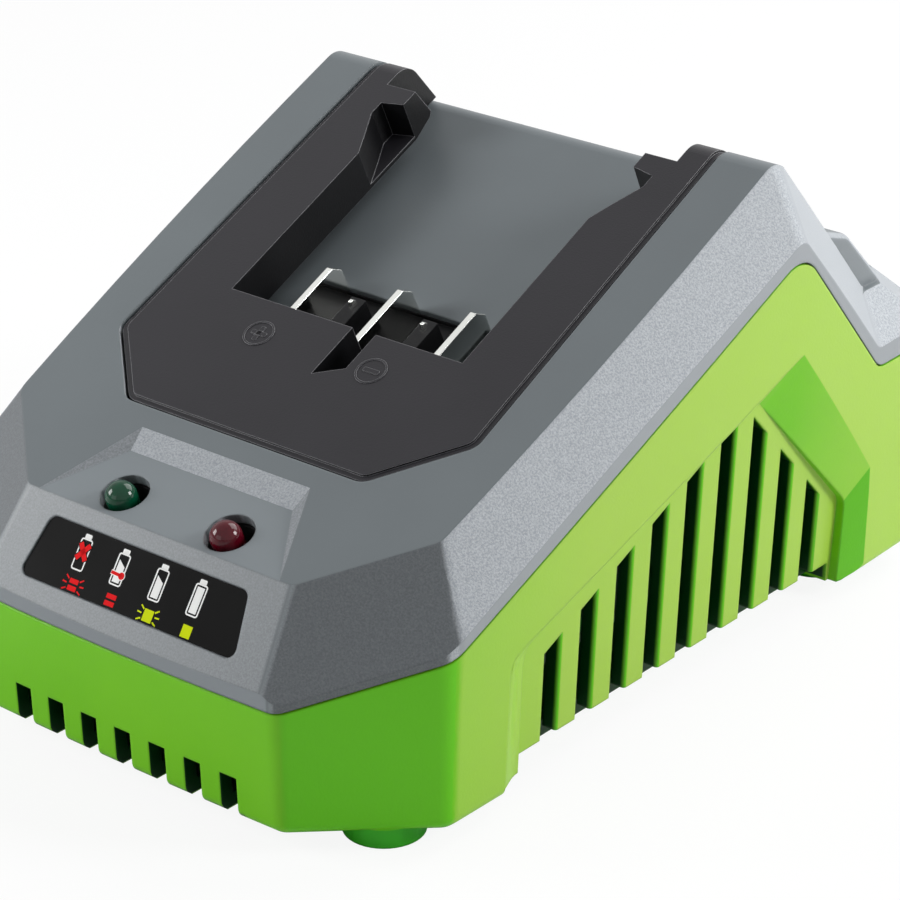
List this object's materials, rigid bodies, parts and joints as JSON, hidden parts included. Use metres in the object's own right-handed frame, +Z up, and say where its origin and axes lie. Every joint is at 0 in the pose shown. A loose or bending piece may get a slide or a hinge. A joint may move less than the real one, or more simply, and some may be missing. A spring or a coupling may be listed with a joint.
{
  "type": "power tool battery charger",
  "caption": "Wedge-shaped battery charger with a slide-on dock on its sloping top, contact blades, two lamps and a slotted lower housing on round feet.",
  "frame": {"origin": "middle of the footprint, on the surface that the feet stand on", "axes": "+X to the right seen from the front, +Y from the front panel towards the cord side, +Z up"},
  "size_m": [0.1048, 0.1483, 0.0813],
  "materials": {
    "green_housing": "fine moulded grain, satin",
    "grey_cover": "satin on the slopes, sparked grain on the bevels",
    "black_dock": "fine satin",
    "label_film": "printed satin film",
    "terminal_insulator": "moulded",
    "plated_contact": "bright nickel plate",
    "lamp_green": "clear tinted resin",
    "lamp_red": "clear tinted resin",
    "circuit_board": "solder resist",
    "ferrite": "sintered ferrite",
    "bobbin": "moulded",
    "copper_winding": "enamelled wire under tape",
    "capacitor_sleeve": "shrink sleeve",
    "filter_box": "cast resin box",
    "heatsink": "extruded",
    "chip_body": "moulded epoxy",
    "fuse_glass": "clear tube in plated caps",
    "header": "moulded",
    "zinc_screw": "zinc plated"
  },
  "bodies": {
    "root": {"base_housing": "green_housing", "top_cover": "grey_cover", "dock_insert": "black_dock", "status_label": "label_film", "terminal_block": "terminal_insulator", "blade_positive": "plated_contact", "blade_sense": "plated_contact", "blade_negative": "plated_contact", "signal_contacts": "plated_contact", "lamp_green": "lamp_green", "lamp_red": "lamp_red", "indicator_board": "circuit_board", "main_board": "circuit_board", "transformer_core": "ferrite", "transformer_bobbin": "bobbin", "transformer_winding": "copper_winding", "choke_core": "ferrite", "choke_windings": "copper_winding", "choke_base": "bobbin", "bulk_capacitor": "capacitor_sleeve", "output_capacitors": "capacitor_sleeve", "primary_heatsink": "heatsink", "output_heatsink": "heatsink", "switching_transistor": "chip_body", "output_rectifier": "chip_body", "bridge_rectifier": "chip_body", "optocoupler": "chip_body", "control_chip": "chip_body", "filter_capacitor": "filter_box", "mains_fuse": "fuse_glass", "mains_header": "header", "cord_clamp": "bobbin", "clamp_screws": "zinc_screw", "housing_screws": "zinc_screw", "board_screws": "zinc_screw", "insert_screws": "zinc_screw", "terminal_screws": "zinc_screw", "indicator_screws": "zinc_screw"}
  },
  "joints": []
}
